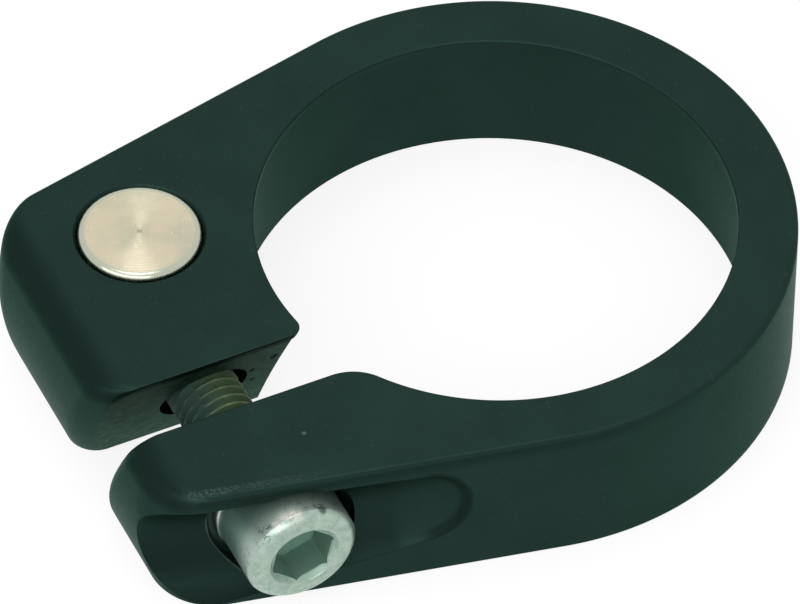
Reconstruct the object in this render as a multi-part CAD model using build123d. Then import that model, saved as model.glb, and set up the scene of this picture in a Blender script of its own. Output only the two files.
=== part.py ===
"""Split seatpost clamp: a one-piece collar with two ears, a cross barrel nut, a washer and a socket screw.

Millimetres. The origin is on the collar's axis, in the plane of its bottom face, with +Z up.
The ears point to -X, the screw lies along Y and its head is on the -Y side.
"""
import math
import os

from build123d import *

# Collar
seat_tube_d = 34.9        # outside diameter of the tube that the collar closes on
tube_clear = 0.05         # gap round that tube before the screw is drawn up
wall = 3.1                # thickness of the ring
height = 11.0             # from the bottom face to the top face
lip_reach = 1.0           # how far the top lip stands in over the end of the tube
lip_thick = 0.6           # thickness of that lip
edge_round = 0.45         # round on the outer top edge
foot_round = 0.15         # round on the bottom edge
mouth_chamfer = 0.1       # lead-in at the bottom of the bore

# Ears
ear_reach = 31.85         # from the collar's axis to the ears' free ends, where they stand out most
ear_taper = 11.7          # degrees that each outer side closes in towards the free end
end_bow_r = 18.0          # radius of the bowed free ends, seen along the screw
end_full_z = 6.4          # height at which the bowed ends stand out most
corner_round = 4.5        # upright outer corners of the free ends
end_round = 2.0           # how far the round over the top edge of the free ends runs in and down
end_arc_r = 2.7           # radius of that round, flat enough to leave a faint edge on both faces
slot_width = 4.2          # opening between the ears, measured along the screw
slot_lean = 23.5          # degrees that the saw cut leans from upright
slot_offset = 3.8         # from the collar's axis to the middle of the cut, at half height
front_corner_round = 1.3  # corner between the cut and the free end, on the head's side
back_corner_round = 2.0   # corner between the cut and the free end, on the nut's side
front_tip_round = 3.5     # corner between the cut and the bore, on the head's side
back_tip_round = 1.0      # corner between the cut and the bore, on the nut's side

# Screw, with a standard head and its socket
screw_x = 22.65           # from the collar's axis to the screw's axis
screw_d = 5.0
screw_length = 25.0       # under the head
screw_pitch = 0.8         # the tip's chamfer takes off the depth of this thread
head_d = 8.0
head_length = 5.0
head_edge = 0.3
socket_across = 4.1
socket_depth = 2.6
socket_lead = 0.35
socket_turn = 18.0        # degrees, the way the socket happens to stand
screw_hole_gap = 0.7      # free room round the shank in both ears
tip_room = 0.9            # free room past the screw's tip

# Washer
washer_d = 8.4
washer_thick = 0.6
washer_gap = 0.15         # free room round the shank

# Barrel nut
nut_d = 8.5
nut_y = 8.75              # from the collar's axis to the nut's axis, along the screw
nut_gap = 0.06            # running fit in its hole
nut_proud = 0.25          # how far its top end stands above the ear
nut_inset = 0.3           # how far its bottom end stays above the bottom face
nut_edge = 0.45
nut_hole_chamfer = 0.25
thread_gap = 0.05

# Seat for the head in the front ear
seat_y = 12.3             # from the collar's axis to the seat, along the screw
seat_gap = 0.1            # the screw is a touch loose, so the washer is just off its seat
head_room = 0.55          # free room round the washer in its spot face
groove_r = 5.4            # round-nosed groove that opens the seat to the free end
groove_depth = 2.3        # of the groove's floor at the screw, along the screw
groove_lean = 19.0        # degrees between the groove and the ears' middle plane
groove_run = 7.85         # from the screw's axis to the groove's last centre, towards the ring
groove_rise = 1.0         # how far that last centre lies above the screw's axis
groove_fall = 5.7         # degrees that the groove falls towards the free end

bore_r = seat_tube_d / 2 + tube_clear
outer_r = bore_r + wall
lip_r = bore_r - lip_reach
screw_z = height / 2
taper = math.radians(ear_taper)


def side_y(x):
    """Distance of the collar's straight outer side from the middle plane, at a distance x from the axis."""
    return (outer_r - x * math.sin(taper)) / math.cos(taper)


def end_x(z):
    """Where the bowed free ends stand at a height."""
    return end_bow_r - ear_reach - math.sqrt(end_bow_r**2 - (z - end_full_z) ** 2)


# Collar blank: the ring and both ears in plan, with the free ends bowed.
tangent_x = -outer_r * math.sin(taper)
tangent_y = outer_r * math.cos(taper)
blank_x = ear_reach + corner_round
with BuildPart() as blank:
    with BuildSketch():
        Circle(outer_r)
        with BuildLine():
            Polyline(
                (tangent_x, -tangent_y),
                (tangent_x, tangent_y),
                (-blank_x, side_y(blank_x)),
                (-blank_x, -side_y(blank_x)),
                close=True,
            )
        make_face()
    extrude(amount=height)
    with BuildSketch(Plane.XZ):
        with BuildLine():
            ThreePointArc((end_x(0), 0), (-ear_reach, end_full_z), (end_x(height), height))
            Polyline((end_x(height), height), (-blank_x, height), (-blank_x, 0), (end_x(0), 0))
        make_face()
    extrude(amount=outer_r, both=True, mode=Mode.SUBTRACT)


def end_edges(solid):
    """Upright edges of the free ends, from the head's side to the nut's side."""
    found = []
    for e in solid.edges():
        middle = e.center()
        if middle.X < -ear_reach + corner_round / 2 and abs(middle.Z - height / 2) < height / 4:
            found.append(e)
    return sorted(found, key=lambda e: e.center().Y)


band = blank.part
band = band.fillet(corner_round, end_edges(band))

# Leaning saw cut from the free ends through the ring, with its corners rounded.
lip_bore = Cylinder(lip_r, height, align=(Align.CENTER, Align.CENTER, Align.MIN))
lean_rise = math.tan(math.radians(slot_lean))
slot_foot = -slot_offset + lean_rise * height / 2
with BuildSketch() as slot_plan:
    with Locations((-blank_x / 2, slot_foot)):
        Rectangle(blank_x, slot_width)
saw = extrude(slot_plan.sketch, amount=height * math.hypot(1, lean_rise), dir=(0, -lean_rise, 1))
band = band - lip_bore - saw


def tip_edges(solid):
    """The two leaning edges between the cut and the bore, the head's side first."""
    found = []
    for e in solid.edges():
        middle = e.center()
        upright = e.length > height and abs(middle.Z - height / 2) < height / 8
        if upright and middle.X < 0 and math.hypot(middle.X, middle.Y) < bore_r:
            found.append(e)
    return sorted(found, key=lambda e: e.center().Y)


band = band.fillet(front_tip_round, tip_edges(band)[:1])
band = band.fillet(back_tip_round, tip_edges(band)[-1:])


def cut_corners(solid):
    """The two leaning edges between the cut and the free ends, the head's side first."""
    middle_y = -slot_offset
    return [e for e in end_edges(solid) if abs(e.center().Y - middle_y) < slot_width / 2 + 0.4]


band = band.fillet(front_corner_round, cut_corners(band)[:1])
band = band.fillet(back_corner_round, cut_corners(band)[-1:])

# Round over the top edge of the free ends, then the rounds on the outer edges.
round_x = end_x(height - end_round)
crease_x = round_x + end_round
with BuildPart() as end_cut:
    with BuildSketch(Plane.XZ):
        with BuildLine():
            Polyline(
                (round_x, height - end_round),
                (-blank_x, height - end_round),
                (-blank_x, height),
                (crease_x, height),
            )
            RadiusArc((crease_x, height), (round_x, height - end_round), -end_arc_r)
        make_face()
    extrude(amount=outer_r, both=True)
band = band - end_cut.part
show_top = band.faces().sort_by(Axis.Z)[-1]
top_loop = []
for e in show_top.edges():
    middle = e.center()
    on_ring = abs(math.hypot(middle.X, middle.Y) - outer_r) < wall / 4
    on_side = middle.X > crease_x + edge_round and abs(middle.Y) > side_y(-middle.X) - corner_round / 2
    if on_ring or (middle.X < 0 and on_side):
        top_loop.append(e)
band = band.fillet(edge_round, top_loop)
bottom_loop = band.faces().sort_by(Axis.Z)[0].edges()
band = band.fillet(foot_round, bottom_loop)

# Bore for the tube under the lip, with its lead-in.
bore = Cylinder(bore_r, height - lip_thick, align=(Align.CENTER, Align.CENTER, Align.MIN))
mouth = Cone(bore_r + mouth_chamfer, bore_r, mouth_chamfer, align=(Align.CENTER, Align.CENTER, Align.MIN))
band = band - bore - mouth

# Upright hole for the barrel nut.
nut_hole_r = nut_d / 2 + nut_gap
nut_hole = Pos(-screw_x, nut_y, 0) * Cylinder(nut_hole_r, height, align=(Align.CENTER, Align.CENTER, Align.MIN))
nut_sink = Pos(-screw_x, nut_y, height - nut_hole_chamfer) * Cone(
    nut_hole_r,
    nut_hole_r + nut_hole_chamfer,
    nut_hole_chamfer,
    align=(Align.CENTER, Align.CENTER, Align.MIN),
)
band = band - nut_hole - nut_sink


def along_screw(solid, y):
    """Place a solid made along +Z so that it runs along +Y on the screw's axis, from y."""
    return Pos(-screw_x, y, screw_z) * Rot(-90, 0, 0) * solid


def rod(radius, length):
    return Cylinder(radius, length, align=(Align.CENTER, Align.CENTER, Align.MIN))


# Screw hole through the front ear, and past the nut as far as the screw's tip needs.
outside = outer_r + head_length
head_back = -seat_y - seat_gap - washer_thick
hole_end = head_back + screw_length + tip_room
screw_hole = along_screw(rod(screw_d / 2 + screw_hole_gap, outside + hole_end), -outside)
spot_face = along_screw(rod(washer_d / 2 + head_room, outside - seat_y), -outside)
band = band - screw_hole - spot_face

# Round-nosed groove: it runs in from the free end, over the seat, and out towards the ring.
lean = math.radians(groove_lean)
floor_y = -side_y(screw_x) + groove_depth
axis_y = floor_y - groove_r / math.cos(lean)
nose_x = -screw_x + groove_run
nose_y = axis_y - groove_run * math.tan(lean)
cut_length = (ear_reach + corner_round - screw_x + groove_run) / math.cos(lean)
nose_z = screw_z + groove_rise
fall = math.tan(math.radians(groove_fall))
groove_dir = Plane(origin=(nose_x, nose_y, nose_z), z_dir=(-math.cos(lean), math.sin(lean), -fall))
groove = groove_dir * rod(groove_r, cut_length) + Pos(nose_x, nose_y, nose_z) * Sphere(groove_r)
band = band - groove
band.label = "clamp_band"

# Barrel nut: a short bar with rounded ends and a cross hole for the screw.
nut_length = height + nut_proud - nut_inset
nut = Pos(-screw_x, nut_y, nut_inset) * rod(nut_d / 2, nut_length)
nut = nut.fillet(nut_edge, nut.edges().filter_by(GeomType.CIRCLE))
nut = nut - along_screw(rod(screw_d / 2 + thread_gap, 2 * nut_d), nut_y - nut_d)
nut.label = "barrel_nut"

# Washer under the head.
washer = along_screw(rod(washer_d / 2, washer_thick) - rod(screw_d / 2 + washer_gap, washer_thick), head_back)
washer.label = "head_washer"

# Socket screw, turned in one piece with its head.
head_front = head_back - head_length
head = rod(head_d / 2, head_length)
head = head.chamfer(head_edge, None, head.edges().group_by(Axis.Z)[0])
shank = Pos(0, 0, head_length) * rod(screw_d / 2, screw_length)
shank = shank.chamfer(0.75 * screw_pitch, None, shank.edges().group_by(Axis.Z)[-1])
across_corners = socket_across / math.cos(math.pi / 6)
socket = extrude(Rot(0, 0, -socket_turn) * RegularPolygon(across_corners / 2, 6), amount=socket_depth)
socket_bottom = Pos(0, 0, socket_depth) * Cone(
    socket_across / 2,
    0.05,
    socket_across / 2 * math.tan(math.radians(30)),
    align=(Align.CENTER, Align.CENTER, Align.MIN),
)
socket_mouth = Cone(
    across_corners / 2 + socket_lead / 2,
    across_corners / 2 - socket_lead / 2,
    socket_lead,
    align=(Align.CENTER, Align.CENTER, Align.MIN),
)
screw = along_screw(head + shank - socket - socket_bottom - socket_mouth, head_front)
screw.label = "clamp_screw"

os.makedirs("parts", exist_ok=True)
for piece in (band, nut, washer, screw):
    export_step(piece, "parts/" + piece.label + ".step")
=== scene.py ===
"""Seatpost clamp: the looks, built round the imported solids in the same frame, in metres."""
import math

import bpy
from mathutils import Matrix, Vector


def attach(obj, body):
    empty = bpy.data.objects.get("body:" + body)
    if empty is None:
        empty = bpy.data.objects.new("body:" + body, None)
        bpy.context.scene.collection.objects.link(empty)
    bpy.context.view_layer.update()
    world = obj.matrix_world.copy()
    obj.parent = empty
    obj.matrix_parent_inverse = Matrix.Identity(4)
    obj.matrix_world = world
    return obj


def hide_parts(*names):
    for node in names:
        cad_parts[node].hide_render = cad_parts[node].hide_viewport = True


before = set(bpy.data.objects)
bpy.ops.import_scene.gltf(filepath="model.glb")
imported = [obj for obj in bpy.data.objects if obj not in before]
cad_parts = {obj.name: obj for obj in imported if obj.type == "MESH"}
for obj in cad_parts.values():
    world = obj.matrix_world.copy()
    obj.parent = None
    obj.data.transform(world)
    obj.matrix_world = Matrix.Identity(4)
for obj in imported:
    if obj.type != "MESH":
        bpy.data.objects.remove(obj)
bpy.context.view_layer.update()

MM = 0.001

# Sizes in millimetres, the same as in the part's source.
HEIGHT = 11.0
BORE_R = 17.5
LIP_R = 16.5
LIP_THICK = 0.6
OUTER_R = 20.6
MOUTH_CHAMFER = 0.1
EAR_REACH = 31.85
TAPER = math.radians(11.7)
BOW_R = 18.0
FULL_Z = 6.4
CORNER_R = 4.5
END_ROUND = 2.0
EDGE_ROUND = 0.45
FOOT_ROUND = 0.15
SLOT_HALF = 4.2 / 2
LEAN = math.tan(math.radians(23.5))
SLOT_MID = -3.8
FRONT_CORNER_R = 1.3
BACK_CORNER_R = 2.0
FRONT_TIP_R = 3.5
BACK_TIP_R = 1.0
SCREW_X = -22.65
SCREW_Z = HEIGHT / 2
SCREW_R = 2.5
SCREW_LENGTH = 25.0
PITCH = 0.8
HEAD_R = 4.0
HEAD_LENGTH = 5.0
HEAD_BACK = -13.0
HEAD_FRONT = HEAD_BACK - HEAD_LENGTH
SOCKET_ACROSS = 4.1
SOCKET_DEPTH = 2.6
SOCKET_TURN = math.radians(-18.0)
HOLE_R = 3.2
HOLE_END = 12.9
SPOT_R = 4.75
SEAT_Y = -12.3
WASHER_R = 4.2
WASHER_BORE = 2.65
WASHER_THICK = 0.6
NUT_R = 4.25
NUT_Y = 8.75
NUT_HOLE_R = 4.31
NUT_LOW = 0.3
NUT_HIGH = 11.25
NUT_EDGE = 0.45
NUT_CROSS_R = 2.55
NUT_SINK = 0.25
GROOVE_R = 5.4
GROOVE_LEAN = math.radians(19.0)
GROOVE_DEPTH = 2.3
GROOVE_RUN = 7.85
GROOVE_RISE = 1.0
GROOVE_FALL = math.tan(math.radians(5.7))

# Sizes of the finer meshes, in millimetres.
RIM = 0.16
SPOT_EDGE = 0.25
WASHER_EDGE = 0.12
WASHER_SOFT = 0.3 * WASHER_EDGE
HEAD_EDGE = 0.6
HEAD_BULGE = 0.06
HEAD_BACK_EDGE = 0.15
MOUTH_FLARE = 0.35
DRILL_R = SOCKET_ACROSS / 2 - 0.02
DRILL_POINT = math.radians(30)
NECK_R = SCREW_R - 0.24
THREAD_FROM = HEAD_LENGTH + 1.6
THREAD_END = HEAD_LENGTH + SCREW_LENGTH
THREAD_FADE = 0.8
CORE_R = SCREW_R - 0.6134 * PITCH
CREST_R = SCREW_R - 0.02
CREST_SHARE = 0.14
POINT_R = SCREW_R - 0.75 * PITCH

# How far the tools of the cuts run past a surface, and the room that keeps two walls from falling together.
PAST = 1.0
SINK_PAST = 0.75
SLIVER = 0.01
GROOVE_TOOL = 24.0
CROSS_TOOL = 20.0

# Counts of mesh steps.
RING_STEPS = 90
SIDE_STEPS = 8
CORNER_STEPS = 30
END_STEPS = 8
FOOT_STEPS = 4
WALL_STEPS = 16
ROUND_STEPS = 14
MOUTH_STEPS = 10
TIP_STEPS = 18
LIP_STEPS = 240
RIM_STEPS = 5
LEVEL_STEPS = 12
NOSE_STEPS = 24.5
NUT_STEPS = 8
HEAD_STEPS = 8
HEAD_BACK_STEPS = 3
SCREW_SIDES = 96
STEPS_PER_TURN = 12


# Mesh helpers. They work in millimetres and finish_mesh() scales a mesh to metres.
def new_object(name, verts, faces):
    mesh = bpy.data.meshes.new(name)
    mesh.from_pydata(verts, [], faces)
    mesh.update()
    ob = bpy.data.objects.new(name, mesh)
    bpy.context.scene.collection.objects.link(ob)
    return ob


def loft(name, rings):
    """Closed solid through rings of equal length, each counter-clockwise seen from the last ring's side."""
    n = len(rings[0])
    verts = [p for ring in rings for p in ring]
    faces = []
    for k in range(len(rings) - 1):
        for i in range(n):
            j = (i + 1) % n
            faces.append((k * n + i, k * n + j, (k + 1) * n + j, (k + 1) * n + i))
    faces.append(tuple(reversed(range(n))))
    faces.append(tuple(range((len(rings) - 1) * n, len(rings) * n)))
    return new_object(name, verts, faces)


def turned(name, profile, place, steps=128):
    """Solid of revolution from (radius, height) pairs, bottom to top, put into the part by place()."""
    rings = []
    for r, h in profile:
        ring = []
        for i in range(steps):
            a = 2 * math.pi * i / steps
            ring.append(place(r * math.cos(a), r * math.sin(a), h))
        rings.append(ring)
    return loft(name, rings)


def ring_solid(name, profile, place, steps):
    """Closed ring from a closed (radius, height) profile."""
    m = len(profile)
    verts = []
    faces = []
    for i in range(steps):
        a = 2 * math.pi * i / steps
        for r, h in profile:
            verts.append(place(r * math.cos(a), r * math.sin(a), h))
    for i in range(steps):
        j = (i + 1) % steps
        for k in range(m):
            n = (k + 1) % m
            faces.append((i * m + k, j * m + k, j * m + n, i * m + n))
    return new_object(name, verts, faces)


def upright(x, y):
    return lambda u, v, w: (x + u, y + v, w)


def along_screw(y):
    """Local height runs along +Y on the screw's axis, from y."""
    return lambda u, v, w: (SCREW_X + u, y + w, SCREW_Z - v)


def cut(target, tool):
    """Take the tool away from the target."""
    step = target.modifiers.new("cut", "BOOLEAN")
    step.operation = "DIFFERENCE"
    step.solver = "EXACT"
    step.object = tool
    graph = bpy.context.evaluated_depsgraph_get()
    mesh = bpy.data.meshes.new_from_object(target.evaluated_get(graph))
    target.modifiers.clear()
    old = target.data
    target.data = mesh
    bpy.data.meshes.remove(old)
    old = tool.data
    bpy.data.objects.remove(tool)
    bpy.data.meshes.remove(old)


def finish_mesh(ob, angle=28.0):
    """Scale to metres and shade smooth between faces that meet at less than the angle."""
    mesh = ob.data
    mesh.transform(Matrix.Scale(MM, 4))
    mesh.polygons.foreach_set("use_smooth", [True] * len(mesh.polygons))
    mesh.set_sharp_from_angle(angle=math.radians(angle))
    step = ob.modifiers.new("normals", "WEIGHTED_NORMAL")
    step.keep_sharp = True
    step.weight = 60
    mesh.update()


def arc(cx, cy, r, a0, a1, steps):
    angles = [a0 + (a1 - a0) * i / steps for i in range(steps + 1)]
    return [(cx + r * math.cos(a), cy + r * math.sin(a)) for a in angles]


def quarter(steps):
    """Angles of a quarter turn, from 0 to 90 degrees."""
    return [math.pi / 2 * i / steps for i in range(steps + 1)]


def smooth(t):
    t = min(1.0, max(0.0, t))
    return t * t * (3 - 2 * t)


# Collar blank: plan outlines with normals, free ends that bow outwards and a top round that is wider on them.
def bow(z):
    """How far the free ends stand from the collar's axis at a height, before their top round."""
    return EAR_REACH - BOW_R + math.sqrt(BOW_R**2 - (z - FULL_Z) ** 2)


def slope(z):
    return (z - FULL_Z) / math.sqrt(BOW_R**2 - (z - FULL_Z) ** 2)


def round_start(radius, share):
    """Height and angle at which the top round leaves the wall. The wall follows a share of the bow."""
    z = HEIGHT - radius
    for _ in range(6):
        tilt = math.atan(slope(z) * share)
        z = HEIGHT - radius * (1 - math.sin(tilt))
    return z, tilt


def end_wall(z):
    """Distance of the free ends from the axis at a height, with their top round."""
    start, tilt = round_start(END_ROUND, 1.0)
    if z <= start:
        return bow(z)
    up = min(1.0, max(0.0, (z - start) / END_ROUND + math.sin(tilt)))
    return bow(start) - END_ROUND * (math.cos(tilt) - math.sqrt(1 - up * up))


HALF = math.pi / 2 + TAPER


def outline_point(kind, k, reach):
    """Plan point and normal on the back half, from the ring to the middle of the free end."""
    if kind == "ring":
        return OUTER_R * math.cos(k), OUTER_R * math.sin(k), math.cos(k), math.sin(k)
    cx = -reach + CORNER_R
    cy = (OUTER_R - CORNER_R + math.sin(TAPER) * cx) / math.cos(TAPER)
    if kind == "corner":
        a = HALF + (math.pi - HALF) * k
        return cx + CORNER_R * math.cos(a), cy + CORNER_R * math.sin(a), math.cos(a), math.sin(a)
    nx, ny = math.cos(HALF), math.sin(HALF)
    if kind == "side":
        x0, y0 = OUTER_R * nx, OUTER_R * ny
        x1, y1 = cx + CORNER_R * nx, cy + CORNER_R * ny
        return x0 + (x1 - x0) * k, y0 + (y1 - y0) * k, nx, ny
    return -reach, cy * (1 - k), -1.0, 0.0


# Each station: the kind of outline, the place along it and how much of the wide top round it has.
WIDENING = 1.2
stations = [("ring", HALF * i / RING_STEPS, 0.0) for i in range(RING_STEPS + 1)]
stations += [("side", i / SIDE_STEPS, 0.0) for i in range(1, SIDE_STEPS)]
stations += [
    ("corner", i / CORNER_STEPS, smooth(WIDENING * i / CORNER_STEPS)) for i in range(CORNER_STEPS + 1)
]
stations += [("end", i / END_STEPS, 1.0) for i in range(1, END_STEPS + 1)]


def wall_ring(step):
    """Ring of points on the outer wall: the foot's round below step 0, the wall, then the top round."""
    half = []
    for kind, k, wide in stations:
        radius = EDGE_ROUND + (END_ROUND - EDGE_ROUND) * wide
        nx, ny = outline_point(kind, k, EAR_REACH)[2:]
        share = 0.0 if kind in ("ring", "side") else -nx - ny * math.tan(TAPER)
        top, tilt = round_start(radius, share)
        if step < 0:
            a = math.pi / 2 * (1 + step)
            inset = FOOT_ROUND * (1 - math.sin(a))
            x, y, nx, ny = outline_point(kind, k, bow(FOOT_ROUND))
            half.append((x - nx * inset, y - ny * inset, FOOT_ROUND * (1 - math.cos(a))))
        elif step <= WALL_STEPS:
            z = FOOT_ROUND + (top - FOOT_ROUND) * step / WALL_STEPS
            x, y, nx, ny = outline_point(kind, k, bow(z))
            half.append((x, y, z))
        else:
            b = tilt + (math.pi / 2 - tilt) * (step - WALL_STEPS) / ROUND_STEPS
            x, y, nx, ny = outline_point(kind, k, bow(top))
            inset = radius * (math.cos(tilt) - math.cos(b))
            half.append((x - nx * inset, y - ny * inset, top + radius * (math.sin(b) - math.sin(tilt))))
    other = [(x, -y, z) for x, y, z in reversed(half[1:-1])]
    return half + other


wall = [wall_ring(-1 + i / FOOT_STEPS) for i in range(FOOT_STEPS)]
wall += [wall_ring(i) for i in range(WALL_STEPS + ROUND_STEPS + 1)]
band = loft("band", wall)


# Opening of the bore and the leaning cut, as one lofted tool with fine rounds at both mouths.
def opening(z, grow):
    """Plan of the opening at a height, with its walls moved out by grow."""
    mid = SLOT_MID - LEAN * (z - HEIGHT / 2)
    front = mid - SLOT_HALF - grow
    back = mid + SLOT_HALF + grow
    rho = LIP_R + grow
    out_x = -EAR_REACH - 2 * PAST
    reach = end_wall(min(max(z, 0.0), HEIGHT)) + SLIVER
    rc = FRONT_CORNER_R - grow
    pts = [(out_x, front - rc)]
    pts += arc(-reach + FRONT_CORNER_R, front - rc, rc, math.pi, math.pi / 2, MOUTH_STEPS)
    rt = FRONT_TIP_R - grow
    ty = front - rt
    tx = -math.sqrt((rho + rt) ** 2 - ty**2)
    pts += arc(tx, ty, rt, math.pi / 2, math.atan2(-ty, -tx), TIP_STEPS)
    start = math.atan2(ty, tx)
    rb = BACK_TIP_R - grow
    by = back + rb
    bx = -math.sqrt((rho + rb) ** 2 - by**2)
    end = math.atan2(by, bx)
    if end < 0:
        end += 2 * math.pi
    pts += arc(0, 0, rho, start, end, LIP_STEPS)[1:-1]
    pts += arc(bx, by, rb, math.atan2(-by, -bx), -math.pi / 2, MOUTH_STEPS)
    rc = BACK_CORNER_R - grow
    pts += arc(-reach + BACK_CORNER_R, back + rc, rc, -math.pi / 2, -math.pi, MOUTH_STEPS)
    pts.append((out_x, back + rc))
    return [(x, y, z) for x, y in pts]


levels = [(-PAST, RIM)]
levels += [(RIM * (1 - math.cos(a)), RIM * (1 - math.sin(a))) for a in quarter(RIM_STEPS)]
levels += [(HEIGHT * i / LEVEL_STEPS, 0.0) for i in range(1, 10)]
levels += [(HEIGHT - END_ROUND * (1 - math.sin(a)), 0.0) for a in quarter(LEVEL_STEPS)[1:9]]
levels += [(HEIGHT - RIM + RIM * math.sin(a), RIM * (1 - math.cos(a))) for a in quarter(RIM_STEPS)]
levels.append((HEIGHT + PAST, RIM))
cut(band, loft("opening", [opening(z, g) for z, g in levels]))

bore_profile = [
    (BORE_R + MOUTH_CHAMFER + PAST, -PAST),
    (BORE_R, MOUTH_CHAMFER),
    (BORE_R, HEIGHT - LIP_THICK),
]
cut(band, turned("bore", bore_profile, upright(0, 0), steps=300))

sink = NUT_SINK + SINK_PAST
nut_hole_profile = [
    (NUT_HOLE_R, -PAST),
    (NUT_HOLE_R, HEIGHT - NUT_SINK),
    (NUT_HOLE_R + sink, HEIGHT - NUT_SINK + sink),
]
cut(band, turned("nut_hole", nut_hole_profile, upright(SCREW_X, NUT_Y)))

outside = OUTER_R + HEAD_LENGTH
hole_profile = [(HOLE_R, 0), (HOLE_R, outside + HOLE_END)]
cut(band, turned("screw_hole", hole_profile, along_screw(-outside), steps=96))
spot_profile = [
    (SPOT_R, 0),
    (SPOT_R, outside + SEAT_Y - SPOT_EDGE),
    (SPOT_R - SPOT_EDGE, outside + SEAT_Y),
]
cut(band, turned("spot", spot_profile, along_screw(-outside)))

# Round-nosed groove beside the head.
floor_y = -(OUTER_R + SCREW_X * math.sin(TAPER)) / math.cos(TAPER) + GROOVE_DEPTH
nose = Vector(
    (
        SCREW_X + GROOVE_RUN,
        floor_y - GROOVE_R / math.cos(GROOVE_LEAN) - GROOVE_RUN * math.tan(GROOVE_LEAN),
        SCREW_Z + GROOVE_RISE,
    )
)
run = Vector((-math.cos(GROOVE_LEAN), math.sin(GROOVE_LEAN), -GROOVE_FALL)).normalized()
across = Vector((math.sin(GROOVE_LEAN), math.cos(GROOVE_LEAN), 0))
down = run.cross(across)


def in_groove(u, v, w):
    return tuple(nose + across * u + down * v + run * w)


groove_profile = []
for i in range(1, 25):
    a = math.pi / 2 * (1 - i / NOSE_STEPS)
    groove_profile.append((GROOVE_R * math.cos(a), -GROOVE_R * math.sin(a)))
groove_profile += [(GROOVE_R, 0.0), (GROOVE_R, GROOVE_TOOL)]
cut(band, turned("groove", groove_profile, in_groove))
finish_mesh(band)
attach(band, "collar")
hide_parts("clamp_band")

# Barrel nut: turned bar with rounded ends and a cross hole.
NUT_CAP_R = 0.6
nut_profile = [(NUT_CAP_R, NUT_LOW), (NUT_R - NUT_EDGE, NUT_LOW)]
for a in quarter(NUT_STEPS)[1:]:
    nut_profile.append((NUT_R - NUT_EDGE * (1 - math.sin(a)), NUT_LOW + NUT_EDGE * (1 - math.cos(a))))
for a in quarter(NUT_STEPS):
    nut_profile.append((NUT_R - NUT_EDGE * (1 - math.cos(a)), NUT_HIGH - NUT_EDGE * (1 - math.sin(a))))
nut_profile.append((NUT_CAP_R, NUT_HIGH))
nut = turned("nut", nut_profile, upright(SCREW_X, NUT_Y))
cross_profile = [(NUT_CROSS_R, 0), (NUT_CROSS_R, CROSS_TOOL)]
cut(nut, turned("cross", cross_profile, along_screw(NUT_Y - CROSS_TOOL / 2), steps=96))
finish_mesh(nut)
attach(nut, "nut")
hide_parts("barrel_nut")

# Washer with its edges broken.
washer_profile = [
    (WASHER_BORE, WASHER_EDGE),
    (WASHER_BORE + WASHER_EDGE, 0.0),
    (WASHER_R - WASHER_EDGE, 0.0),
    (WASHER_R - WASHER_SOFT, WASHER_SOFT),
    (WASHER_R, WASHER_EDGE),
    (WASHER_R, WASHER_THICK - WASHER_EDGE),
    (WASHER_R - WASHER_SOFT, WASHER_THICK - WASHER_SOFT),
    (WASHER_R - WASHER_EDGE, WASHER_THICK),
    (WASHER_BORE + WASHER_EDGE, WASHER_THICK),
    (WASHER_BORE, WASHER_THICK - WASHER_EDGE),
]
washer = ring_solid("washer", washer_profile, along_screw(HEAD_BACK), 128)
finish_mesh(washer)
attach(washer, "washer")
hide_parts("head_washer")


# Socket screw, with a cut thread on its shank. Heights run from the head's front.
def screw_ring(radius_at, h):
    ring = []
    for i in range(SCREW_SIDES):
        a = 2 * math.pi * i / SCREW_SIDES
        r = radius_at(a, h)
        ring.append((r * math.cos(a), r * math.sin(a), h))
    return ring


def plain(r):
    return lambda a, h: r


def thread_radius(a, h):
    """Right-hand thread: flat crest and root with straight flanks, fading in behind the head."""
    t = (h / PITCH - a / (2 * math.pi)) % 1.0
    t = abs(2 * t - 1)
    t = min(1.0, max(0.0, (t - CREST_SHARE) / (1 - 2 * CREST_SHARE)))
    full = CORE_R + (CREST_R - CORE_R) * t
    fade = smooth((h - THREAD_FROM) / THREAD_FADE)
    r = NECK_R + (full - NECK_R) * fade
    return min(r, POINT_R + (THREAD_END - h))


screw_rings = []
for i in range(HEAD_STEPS + 1):
    k = i / HEAD_STEPS
    swell = HEAD_BULGE * 4 * k * (1 - k)
    screw_rings.append(screw_ring(plain(HEAD_R - HEAD_EDGE * (1 - k) + swell), HEAD_EDGE * k - swell))
for a in quarter(HEAD_BACK_STEPS):
    r = HEAD_R - HEAD_BACK_EDGE * (1 - math.cos(a))
    screw_rings.append(screw_ring(plain(r), HEAD_LENGTH - HEAD_BACK_EDGE * (1 - math.sin(a))))
screw_rings.append(screw_ring(plain(SCREW_R - 0.1), HEAD_LENGTH))
screw_rings.append(screw_ring(plain(NECK_R), HEAD_LENGTH + 0.15))
count = int((THREAD_END - THREAD_FROM) / (PITCH / STEPS_PER_TURN))
for i in range(count + 1):
    screw_rings.append(screw_ring(thread_radius, THREAD_FROM + (THREAD_END - THREAD_FROM) * i / count))
place = along_screw(HEAD_FRONT)
screw = loft("screw", [[place(*p) for p in ring] for ring in screw_rings])

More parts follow.
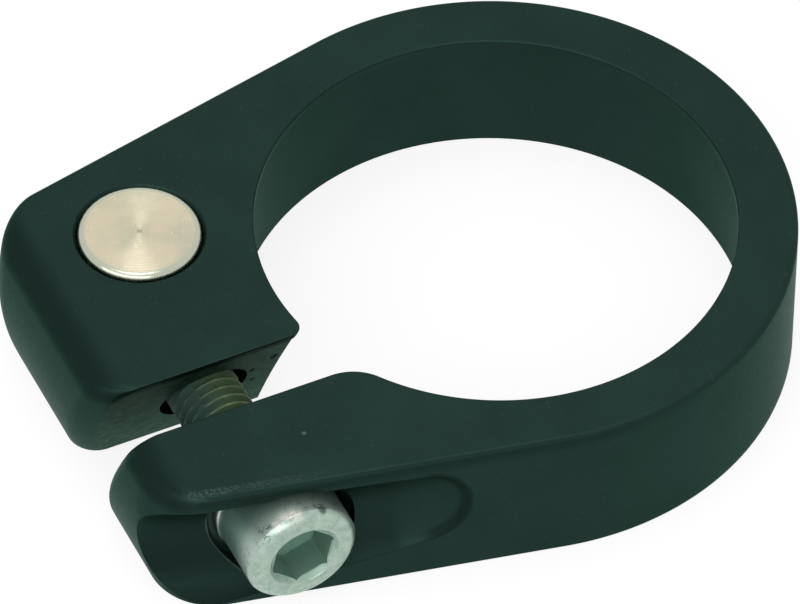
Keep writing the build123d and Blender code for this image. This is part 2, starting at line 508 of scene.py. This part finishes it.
corner = SOCKET_ACROSS / 2 / math.cos(math.pi / 6)
hexagon = []
for i in range(6):
    a = SOCKET_TURN + math.pi / 3 * i
    hexagon.append((corner * math.cos(a), corner * math.sin(a)))
hex_rings = [[place(u, v, h) for u, v in hexagon] for h in (-PAST, SOCKET_DEPTH)]
cut(screw, loft("hexagon", hex_rings))
mouth_profile = [
    (corner + MOUTH_FLARE / 2 + PAST, -PAST),
    (corner + MOUTH_FLARE / 2, 0.0),
    (corner - MOUTH_FLARE / 2, MOUTH_FLARE),
    (0.4, MOUTH_FLARE + 0.1),
]
cut(screw, turned("mouth", mouth_profile, place, steps=96))
drill_profile = [
    (DRILL_R, SOCKET_DEPTH - 0.3),
    (DRILL_R, SOCKET_DEPTH),
    (0.1, SOCKET_DEPTH + SOCKET_ACROSS / 2 * math.tan(DRILL_POINT)),
]
cut(screw, turned("drill", drill_profile, place, steps=64))
finish_mesh(screw, 32.0)
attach(screw, "screw")
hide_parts("clamp_screw")


# Materials
class Tree:
    """Short hand for a material's node tree."""

    def __init__(self, name):
        self.material = bpy.data.materials.new(name)
        self.material.use_nodes = True
        self.tree = self.material.node_tree
        self.shader = self.tree.nodes["Principled BSDF"]
        coords = self.tree.nodes.new("ShaderNodeTexCoord")
        self.place = coords.outputs["Object"]
        parts = self.tree.nodes.new("ShaderNodeSeparateXYZ")
        self.tree.links.new(self.place, parts.inputs[0])
        self.x, self.y, self.z = parts.outputs

    def put(self, socket, value):
        if isinstance(value, bpy.types.NodeSocket):
            self.tree.links.new(value, socket)
        else:
            socket.default_value = value

    def math(self, kind, a, b=0.0, c=0.0):
        node = self.tree.nodes.new("ShaderNodeMath")
        node.operation = kind
        for socket, value in zip(node.inputs, (a, b, c)):
            self.put(socket, value)
        return node.outputs[0]

    def muladd(self, a, b, c):
        return self.math("MULTIPLY_ADD", a, b, c)

    def band(self, value, low, high):
        """0 at low, 1 at high, smooth between and level past them."""
        node = self.tree.nodes.new("ShaderNodeMapRange")
        node.interpolation_type = "SMOOTHSTEP"
        node.inputs["From Min"].default_value = low
        node.inputs["From Max"].default_value = high
        self.put(node.inputs["Value"], value)
        return node.outputs["Result"]

    def span(self, value, low, high):
        """The same for a length, with the limits in millimetres."""
        return self.band(value, low * MM, high * MM)

    def noise(self, scale, detail=3.0, rough=0.55, stretch=None, warp=0.0):
        node = self.tree.nodes.new("ShaderNodeTexNoise")
        node.inputs["Scale"].default_value = scale
        node.inputs["Detail"].default_value = detail
        node.inputs["Roughness"].default_value = rough
        node.inputs["Distortion"].default_value = warp
        place = self.place
        if stretch:
            mapping = self.tree.nodes.new("ShaderNodeMapping")
            mapping.inputs["Scale"].default_value = stretch
            self.tree.links.new(place, mapping.inputs["Vector"])
            place = mapping.outputs["Vector"]
        self.tree.links.new(place, node.inputs["Vector"])
        return node.outputs["Fac"]

    def mix(self, fac, a, b):
        node = self.tree.nodes.new("ShaderNodeMix")
        node.data_type = "RGBA"
        self.put(node.inputs["Factor"], fac)
        self.put(node.inputs["A"], a)
        self.put(node.inputs["B"], b)
        return node.outputs["Result"]

    def bump(self, height, strength, distance, normal=None):
        node = self.tree.nodes.new("ShaderNodeBump")
        node.inputs["Strength"].default_value = strength
        node.inputs["Distance"].default_value = distance
        self.put(node.inputs["Height"], height)
        if normal:
            self.put(node.inputs["Normal"], normal)
        return node.outputs["Normal"]

    def times(self, *values):
        product = values[0]
        for value in values[1:]:
            product = self.math("MULTIPLY", product, value)
        return product

    def most(self, *values):
        largest = values[0]
        for value in values[1:]:
            largest = self.math("MAXIMUM", largest, value)
        return largest

    def vector(self, kind, a, b):
        node = self.tree.nodes.new("ShaderNodeVectorMath")
        node.operation = kind
        self.put(node.inputs[0], a)
        self.put(node.inputs[1], b)
        return node.outputs["Value" if kind in ("DISTANCE", "LENGTH") else "Vector"]

    def from_point(self, point):
        """Distance from a point given in millimetres."""
        return self.vector("DISTANCE", self.place, tuple(Vector(point) * MM))

    def off_line(self, point, direction):
        """Distance from a line through a point given in millimetres."""
        reach = self.vector("SUBTRACT", self.place, tuple(Vector(point) * MM))
        return self.vector("LENGTH", self.vector("CROSS_PRODUCT", reach, tuple(direction)), (0, 0, 0))

    def near(self, x, y, z, inner, outer, tall=1.0):
        """1 within the inner distance of a point, 0 past the outer one, in millimetres, drawn out along z."""
        reach = self.vector("SUBTRACT", self.place, (x * MM, y * MM, z * MM))
        reach = self.vector("MULTIPLY", reach, (1, 1, 1 / tall))
        return self.span(self.vector("LENGTH", reach, (0, 0, 0)), outer, inner)

    def spots(self, places, core, tall=1.0):
        """Round spots, each a point with a radius. The core is the share of the radius that is full."""
        return self.most(*[self.near(x, y, z, core * r, r, tall) for x, y, z, r in places])

    def off_axis(self, u, u0, v, v0):
        """Distance from an axis that crosses the u, v plane at u0, v0, given in millimetres."""
        du = self.math("SUBTRACT", u, u0 * MM)
        dv = self.math("SUBTRACT", v, v0 * MM)
        return self.math("SQRT", self.muladd(du, du, self.math("MULTIPLY", dv, dv)))

    def set(self, **values):
        for name, value in values.items():
            self.put(self.shader.inputs[name.replace("_", " ")], value)


def rgb(r, g, b):
    return (r, g, b, 1.0)


# Collar: dyed aluminium, almost black with a green cast. The cut shows rough sawn metal with a few pits.
# The outer top edge over the groove is rubbed bright in specks. Painted shade darkens the top of the cut,
# the strip just under that edge, the free ends' top round, the groove and its nose and the nut's sink;
# painted light lightens the seat under the head.
PITS = ((-18.0, -2.86, 8.17, 0.36), (-19.35, -2.25, 6.8, 0.27), (-18.9, -1.4, 4.75, 0.24))
CHIP = (-20.11, -12.30, HEIGHT)
DYE_LOW = rgb(0.0160, 0.0345, 0.0290)
DYE_HIGH = rgb(0.0190, 0.0400, 0.0340)
DYE_SPECK = rgb(0.032, 0.060, 0.052)
SAWN_LOW = rgb(0.030, 0.058, 0.044)
SAWN_HIGH = rgb(0.060, 0.106, 0.080)
SAWN_TOP_SHADE = rgb(0.006, 0.012, 0.009)
PIT_TONE = rgb(0.002, 0.003, 0.003)
END_ROUND_SHADE = rgb(0.0105, 0.0225, 0.0190)
UNDER_EDGE_SHADE = rgb(0.0132, 0.0285, 0.0240)
WORN_TONE = rgb(0.080, 0.120, 0.108)
SINK_SHADE = rgb(0.014, 0.030, 0.025)
GROOVE_SHADE_LOW = rgb(0.0090, 0.0195, 0.0165)
GROOVE_SHADE_HIGH = rgb(0.0155, 0.0335, 0.0285)
NOSE_SHADE = rgb(0.010, 0.021, 0.018)
SEAT_LIGHT = rgb(0.025, 0.050, 0.042)

t = Tree("black_dye_and_painted_shade")
grain = t.noise(4200, 3.0, 0.6)
cloud = t.noise(140, 3.0)
body = t.mix(t.band(cloud, 0.3, 0.7), DYE_LOW, DYE_HIGH)
body = t.mix(t.band(grain, 0.60, 0.78), body, DYE_SPECK)

from_cut = t.math("ADD", t.y, t.muladd(t.z, LEAN, -(SLOT_MID + LEAN * HEIGHT / 2) * MM))
on_cut = t.span(t.math("ABSOLUTE", from_cut), SLOT_HALF + 0.10, SLOT_HALF + 0.03)
sawn = t.times(on_cut, t.span(t.x, -11.5, -12.5))
saw_marks = t.noise(1500, 4.0, 0.7, stretch=(0.8, 1.0, 1.2), warp=0.5)
sawn_and_shade = t.mix(t.band(saw_marks, 0.32, 0.70), SAWN_LOW, SAWN_HIGH)
# Painted shade along the top of the cut, under the top edge of the leaning face.
sawn_and_shade = t.mix(t.span(t.z, HEIGHT - 1.0, HEIGHT - 0.5), sawn_and_shade, SAWN_TOP_SHADE)
body = t.mix(sawn, body, sawn_and_shade)
pits = t.spots(PITS, 0.55, tall=2.2)
body = t.mix(pits, body, PIT_TONE)

# Painted shade on the upper part of the free ends' top round.
shade_on_end_round = t.times(t.span(t.x, -28.8, -30.5), t.span(t.z, 9.0, 10.2))
body = t.mix(shade_on_end_round, body, END_ROUND_SHADE)

# Distances in from the flat side with the groove and from the ring's outside.
from_side = t.muladd(t.y, math.cos(TAPER), OUTER_R * MM)
from_side = t.muladd(t.x, math.sin(TAPER), from_side)
from_ring = t.math("SUBTRACT", OUTER_R * MM, t.off_axis(t.x, 0, t.y, 0))
on_ring = t.times(t.span(from_ring, 0.26, 0.12), t.span(t.x, -5.0, -4.0))
# Painted shade in a strip just under the outer top edge, on the flat side and the ring.
shade_under_edge = t.times(
    t.most(t.span(from_side, 0.34, 0.16), on_ring),
    t.span(t.z, HEIGHT - 1.4, HEIGHT - 0.4),
    t.span(t.x, 12.0, -6.0),
)
body = t.mix(shade_under_edge, body, UNDER_EDGE_SHADE)
on_edge = t.times(
    t.span(from_side, 1.15, 0.80),
    t.span(from_side, 0.35, 0.55),
    t.span(t.z, HEIGHT - 0.30, HEIGHT - 0.10),
    t.span(t.x, -18.0, -28.5),
    t.span(t.x, -31.0, -30.0),
)
worn = t.times(on_edge, t.band(t.noise(4800, 4.0, 0.8), 0.44, 0.68))
chip = t.near(*CHIP, 0.08, 0.20)
body = t.mix(t.most(worn, chip), body, WORN_TONE)

off_nut = t.off_axis(t.x, SCREW_X, t.y, NUT_Y)
# Painted shade on the chamfered sink round the barrel nut.
shade_in_sink = t.times(
    t.span(off_nut, NUT_HOLE_R + NUT_SINK + 0.05, NUT_HOLE_R + 0.05),
    t.span(t.z, HEIGHT - 0.6, HEIGHT - 0.4),
)
body = t.mix(shade_in_sink, body, SINK_SHADE)

# Painted shade in the groove, darker towards its bottom.
shade_in_groove = t.times(
    t.span(t.off_line(nose, run), GROOVE_R + 0.06, GROOVE_R + 0.02),
    t.span(t.x, nose.x, nose.x - 1.0),
)
body = t.mix(shade_in_groove, body, t.mix(t.span(t.z, 1.0, 6.0), GROOVE_SHADE_LOW, GROOVE_SHADE_HIGH))
# Painted shade in a thin line along the groove's round nose.
from_nose = t.math("SUBTRACT", t.from_point(nose), GROOVE_R * MM)
shade_at_nose = t.times(
    t.span(t.math("ABSOLUTE", from_nose), 0.24, 0.05),
    t.span(from_side, 0.45, 0.20),
    t.span(t.x, nose.x + 0.4, nose.x + 2.0),
)
body = t.mix(shade_at_nose, body, NOSE_SHADE)

# Painted light in the seat under the head: a lighter, less metallic tone where the seat lies in shade.
seat_light = t.times(
    t.span(t.off_axis(t.x, SCREW_X, t.z, SCREW_Z), SPOT_R + 0.10, SPOT_R + 0.02),
    t.span(t.y, SEAT_Y - 3.2, SEAT_Y - 2.6),
    t.span(t.y, SEAT_Y + 0.2, SEAT_Y + 0.1),
)
body = t.mix(seat_light, body, SEAT_LIGHT)
relief = t.bump(grain, 0.22, 0.00002)
relief = t.bump(t.times(sawn, saw_marks), 0.35, 0.00012, relief)
relief = t.bump(t.math("SUBTRACT", 1.0, pits), 0.8, 0.0002, relief)
t.set(
    Base_Color=body,
    Metallic=t.muladd(seat_light, -0.7, 1.0),
    Roughness=t.muladd(sawn, 0.15, t.muladd(grain, 0.20, 0.36)),
    Normal=relief,
    Specular_Tint=rgb(0.56, 0.69, 0.63),
)
black = t.material

# Barrel nut: turned end with fine rings, warm bright plating. Painted glints brighten short dashes on the
# rings, and a painted greenish reflection darkens the rounded rim.
TURNED_PITCH = 0.24
NICKEL_LOW = rgb(0.55, 0.53, 0.40)
NICKEL_HIGH = rgb(0.67, 0.60, 0.44)
NICKEL_FLECK = rgb(0.68, 0.61, 0.46)
NICKEL_GLINT = rgb(0.76, 0.66, 0.50)
DIMPLE_TONE = rgb(0.40, 0.38, 0.28)
RIM_REFLECTION = rgb(0.49, 0.51, 0.41)

t = Tree("nickel")
radius = t.off_axis(t.x, SCREW_X, t.y, NUT_Y)
fleck = t.noise(2200, 3.0)
patch = t.noise(260, 2.0)
wave = t.muladd(patch, 0.0006, radius)
turned_marks = t.math("SINE", t.math("MULTIPLY", wave, 2 * math.pi / (TURNED_PITCH * MM)))
tone = t.mix(t.band(patch, 0.3, 0.7), NICKEL_LOW, NICKEL_HIGH)
tone = t.mix(t.band(fleck, 0.58, 0.75), tone, NICKEL_FLECK)
# Painted glints: brighter short dashes on the turned rings.
glint_dashes = t.times(t.band(turned_marks, 0.2, 0.9), t.band(t.noise(800, 2.0), 0.56, 0.72))
tone = t.mix(glint_dashes, tone, NICKEL_GLINT)
tone = t.mix(t.span(radius, 0.30, 0.04), tone, DIMPLE_TONE)
# Painted reflection: a darker greenish tone on the rounded rim.
rim = t.span(radius, NUT_R - NUT_EDGE - 0.12, NUT_R - NUT_EDGE + 0.08)
tone = t.mix(rim, tone, RIM_REFLECTION)
height = t.times(t.muladd(fleck, 1.6, turned_marks), t.math("SUBTRACT", 1.0, rim))
turned_face = t.tree.nodes.new("ShaderNodeTangent")
turned_face.direction_type = "RADIAL"
turned_face.axis = "Z"
t.set(
    Base_Color=tone,
    Metallic=1.0,
    Roughness=t.muladd(rim, -0.10, t.muladd(fleck, 0.14, 0.24)),
    Normal=t.bump(height, 0.07, 0.00003),
    Anisotropic=0.8,
    Anisotropic_Rotation=0.25,
    Tangent=turned_face.outputs[0],
)
nickel = t.material

# Screw: grey zinc. Painted shade makes the head dull behind its shoulder, which has a painted pale highlight,
# a few dark nicks and one notch; painted shade darkens the socket. The thread has an oily yellow-green film
# under painted shade, darker on its far side, with painted highlights on the crests of its near side.
NICKS = (
    (-25.50, -16.90, 8.30, 0.75),
    (-25.35, -17.50, 8.30, 0.80),
    (-24.95, -17.10, 8.75, 0.60),
    (-21.25, -17.25, 9.25, 0.85),
)
NOTCH = (-21.15, -17.5, 9.1)
HIGHLIGHT_SPOTS = ((-24.5, -17.35, 9.05, 0.85), (-23.9, -17.3, 9.3, 0.95), (-23.2, -17.4, 9.45, 0.85))
ZINC_LOW = rgb(0.31, 0.43, 0.36)
ZINC_HIGH = rgb(0.47, 0.58, 0.495)
ZINC_SPECK = rgb(0.20, 0.27, 0.235)
SIDE_FRONT = rgb(0.42, 0.53, 0.47)
SIDE_BACK_SHADE = rgb(0.120, 0.215, 0.180)
SIDE_FLECK = rgb(0.15, 0.23, 0.195)
PAINTED_HIGHLIGHT = rgb(0.86, 0.80, 0.74)
NOTCH_TONE = rgb(0.105, 0.160, 0.135)
NICK_TONE = rgb(0.070, 0.115, 0.096)
SHANK_SHADE_FAR = rgb(0.050, 0.105, 0.085)
SHANK_SHADE_NEAR = rgb(0.085, 0.150, 0.068)
CREST_HIGHLIGHT = rgb(0.19, 0.265, 0.135)
SOCKET_SHADE = rgb(0.28, 0.425, 0.36)

t = Tree("zinc")
fleck = t.noise(1500, 4.0, 0.65)
fine = t.noise(5200, 3.0, 0.6)
tone = t.mix(t.band(fleck, 0.30, 0.70), ZINC_LOW, ZINC_HIGH)
tone = t.mix(t.band(fine, 0.62, 0.74), tone, ZINC_SPECK)
radius = t.off_axis(t.x, SCREW_X, t.z, SCREW_Z)
side = t.span(radius, HEAD_R - 0.30, HEAD_R - 0.05)
# Painted shade on the head's side, darker towards its back.
side_tone_and_shade = t.mix(t.span(t.y, HEAD_FRONT + 0.5, HEAD_BACK - 2.0), SIDE_FRONT, SIDE_BACK_SHADE)
side_tone_and_shade = t.mix(t.band(fleck, 0.45, 0.80), side_tone_and_shade, SIDE_FLECK)
tone = t.mix(side, tone, side_tone_and_shade)
# Painted highlight: a pale broken patch on the head's shoulder.
highlight_breakup = t.band(t.math("ADD", fleck, t.math("MULTIPLY", fine, 0.6)), 0.60, 1.0)
tone = t.mix(t.times(t.spots(HIGHLIGHT_SPOTS, 0.1), highlight_breakup), tone, PAINTED_HIGHLIGHT)
nicks = t.muladd(t.noise(4000, 4.0, 0.75), 1.8, t.spots(NICKS, 0.4))
nicks = t.band(nicks, 1.86, 2.12)
notch = t.band(t.muladd(fine, 0.8, t.near(*NOTCH, 0.05, 0.60)), 0.65, 1.35)
tone = t.mix(notch, tone, NOTCH_TONE)
tone = t.mix(nicks, tone, NICK_TONE)

shank = t.span(t.y, HEAD_BACK + 0.1, HEAD_BACK + 0.4)
crest = t.span(radius, SCREW_R - 0.12, SCREW_R - 0.03)
# Oily film with painted shade over the shank, darker on the far side, and painted highlights on the near
# crests.
film_and_shade = t.mix(t.span(t.x, SCREW_X - 1.2, SCREW_X + 0.6), SHANK_SHADE_FAR, SHANK_SHADE_NEAR)
film_and_shade = t.mix(t.times(crest, t.span(t.x, SCREW_X - 1.6, SCREW_X)), film_and_shade, CREST_HIGHLIGHT)
tone = t.mix(shank, tone, film_and_shade)
mouth = t.times(
    t.span(radius, SOCKET_ACROSS / 2 + 0.65, SOCKET_ACROSS / 2 + 0.55),
    t.span(t.y, HEAD_FRONT + 0.02, HEAD_FRONT + 0.05),
    t.span(t.y, HEAD_BACK + 0.1, HEAD_BACK),
)
# Painted shade inside the hex socket.
socket = t.times(mouth, t.span(t.y, HEAD_FRONT + 0.25, HEAD_FRONT + 0.38))
tone = t.mix(socket, tone, SOCKET_SHADE)
t.set(
    Base_Color=tone,
    Metallic=t.muladd(shank, -0.7, t.muladd(side, -0.45, 1.0)),
    Roughness=t.muladd(t.most(mouth, shank), 0.25, t.muladd(fleck, 0.22, 0.27)),
    Normal=t.bump(t.math("SUBTRACT", fleck, nicks), 0.16, 0.00004),
)
zinc = t.material

# Washer: the same plating, bright above the middle, with painted shade below.
BRIGHT_LOW = rgb(0.40, 0.46, 0.43)
BRIGHT_HIGH = rgb(0.52, 0.57, 0.53)
PAINTED_SHADE_BELOW = rgb(0.10, 0.15, 0.13)

t = Tree("bright_zinc")
fleck = t.noise(2600, 3.0)
tone = t.mix(t.band(fleck, 0.3, 0.7), BRIGHT_LOW, BRIGHT_HIGH)
# Painted shade below the middle.
tone = t.mix(t.span(t.z, 6.6, 5.0), tone, PAINTED_SHADE_BELOW)
t.set(
    Base_Color=tone,
    Metallic=1.0,
    Roughness=t.muladd(fleck, 0.15, 0.22),
    Normal=t.bump(fleck, 0.10, 0.00003),
)
bright = t.material

for ob, material in ((band, black), (nut, nickel), (washer, bright), (screw, zinc)):
    ob.data.materials.clear()
    ob.data.materials.append(material)

# Floor, light and camera, in metres.
FLOOR_HALF = 3.0
FLOOR_DROP = 0.00002
floor_mesh = bpy.data.meshes.new("floor")
corners = [(sx * FLOOR_HALF, sy * FLOOR_HALF, 0) for sx, sy in ((-1, -1), (1, -1), (1, 1), (-1, 1))]
floor_mesh.from_pydata(corners, [], [(0, 1, 2, 3)])
floor = bpy.data.objects.new("floor", floor_mesh)
floor.location.z = -FLOOR_DROP
bpy.context.scene.collection.objects.link(floor)


def seen(tree):
    """1 for the rays that show the background: camera, glossy and transmission rays."""
    path = tree.nodes.new("ShaderNodeLightPath")
    value = path.outputs["Is Camera Ray"]
    for name in ("Is Glossy Ray", "Is Transmission Ray"):
        node = tree.nodes.new("ShaderNodeMath")
        node.operation = "MAXIMUM"
        tree.links.new(value, node.inputs[0])
        tree.links.new(path.outputs[name], node.inputs[1])
        value = node.outputs[0]
    return value


def matt_paper(tree, low, high):
    """Diffuse shader with a faint fibre in its tone."""
    shader = tree.nodes.new("ShaderNodeBsdfDiffuse")
    coords = tree.nodes.new("ShaderNodeTexCoord")
    fibre = tree.nodes.new("ShaderNodeTexNoise")
    fibre.inputs["Scale"].default_value = 300
    tree.links.new(coords.outputs["Object"], fibre.inputs["Vector"])
    grey = tree.nodes.new("ShaderNodeMix")
    grey.data_type = "RGBA"
    grey.inputs["A"].default_value = rgb(low, low, low)
    grey.inputs["B"].default_value = rgb(high, high, high)
    tree.links.new(fibre.outputs["Fac"], grey.inputs["Factor"])
    tree.links.new(grey.outputs["Result"], shader.inputs["Color"])
    return shader.outputs[0]


# White paper that glows enough to be white where the background shows, and still takes the object's shadow.
GLOW = 0.84
paper = bpy.data.materials.new("paper")
paper.use_nodes = True
tree = paper.node_tree
tree.nodes.clear()
glow = tree.nodes.new("ShaderNodeEmission")
glow.inputs["Strength"].default_value = GLOW
shown = tree.nodes.new("ShaderNodeAddShader")
tree.links.new(glow.outputs[0], shown.inputs[0])
tree.links.new(matt_paper(tree, 0.26, 0.27), shown.inputs[1])
choice = tree.nodes.new("ShaderNodeMixShader")
tree.links.new(seen(tree), choice.inputs[0])
tree.links.new(matt_paper(tree, 0.78, 0.80), choice.inputs[1])
tree.links.new(shown.outputs[0], choice.inputs[2])
out = tree.nodes.new("ShaderNodeOutputMaterial")
tree.links.new(choice.outputs[0], out.inputs["Surface"])
floor_mesh.materials.append(paper)

# White surroundings, at full strength where they show and at half as a source of light.
SKY_LIGHT = 0.5
SKY_SHOWN = 1.0
world = bpy.data.worlds.new("studio")
bpy.context.scene.world = world
world.use_nodes = True
tree = world.node_tree
sky = tree.nodes["Background"]
sky.inputs["Color"].default_value = rgb(1, 1, 1)
strength = tree.nodes.new("ShaderNodeMix")
strength.data_type = "FLOAT"
strength.inputs["A"].default_value = SKY_LIGHT
strength.inputs["B"].default_value = SKY_SHOWN
tree.links.new(seen(tree), strength.inputs["Factor"])
tree.links.new(strength.outputs[0], sky.inputs["Strength"])


def lamp(name, place, wide, tall, power):
    """Rectangular lamp that points at the origin."""
    data = bpy.data.lights.new(name, "AREA")
    data.shape = "RECTANGLE"
    data.size = wide
    data.size_y = tall
    data.energy = power
    ob = bpy.data.objects.new(name, data)
    ob.location = place
    ob.rotation_mode = "QUATERNION"
    ob.rotation_quaternion = (Vector((0, 0, 0)) - Vector(place)).to_track_quat("-Z", "Y")
    bpy.context.scene.collection.objects.link(ob)


lamp("window", place=(-0.59, -0.51, 0.64), wide=1.4, tall=0.4, power=3.9)
lamp("top", place=(0.0, 0.15, 1.0), wide=0.35, tall=0.35, power=1.2)

# Camera of the photograph: a long lens 47.9 degrees above the table, 26.1 degrees round from the head's side.
CAMERA_TURN = math.radians(26.1)
CAMERA_LIFT = math.radians(47.93)
CAMERA_ROLL = math.radians(-1.2)
# The origin as the camera sees it: to the right, down and ahead, in millimetres.
ORIGIN_RIGHT, ORIGIN_DOWN, ORIGIN_AHEAD = 6.376, 1.647, 824.624
camera_data = bpy.data.cameras.new("camera")
camera_data.sensor_width = 36.0
camera_data.lens = 540.0
camera_data.clip_start = 0.05
camera_data.clip_end = 20.0
camera = bpy.data.objects.new("camera", camera_data)
bpy.context.scene.collection.objects.link(camera)
ahead = Vector(
    (
        math.sin(CAMERA_TURN) * math.cos(CAMERA_LIFT),
        math.cos(CAMERA_TURN) * math.cos(CAMERA_LIFT),
        -math.sin(CAMERA_LIFT),
    )
)
level_right = Vector((math.cos(CAMERA_TURN), -math.sin(CAMERA_TURN), 0.0))
level_down = ahead.cross(level_right)
view_right = math.cos(CAMERA_ROLL) * level_right + math.sin(CAMERA_ROLL) * level_down
view_down = math.cos(CAMERA_ROLL) * level_down - math.sin(CAMERA_ROLL) * level_right
pose = Matrix((view_right, -view_down, -ahead)).transposed().to_4x4()
pose.translation = -MM * (ORIGIN_RIGHT * view_right + ORIGIN_DOWN * view_down + ORIGIN_AHEAD * ahead)
camera.matrix_world = pose
bpy.context.scene.camera = camera
bpy.context.scene.view_settings.view_transform = "Standard"
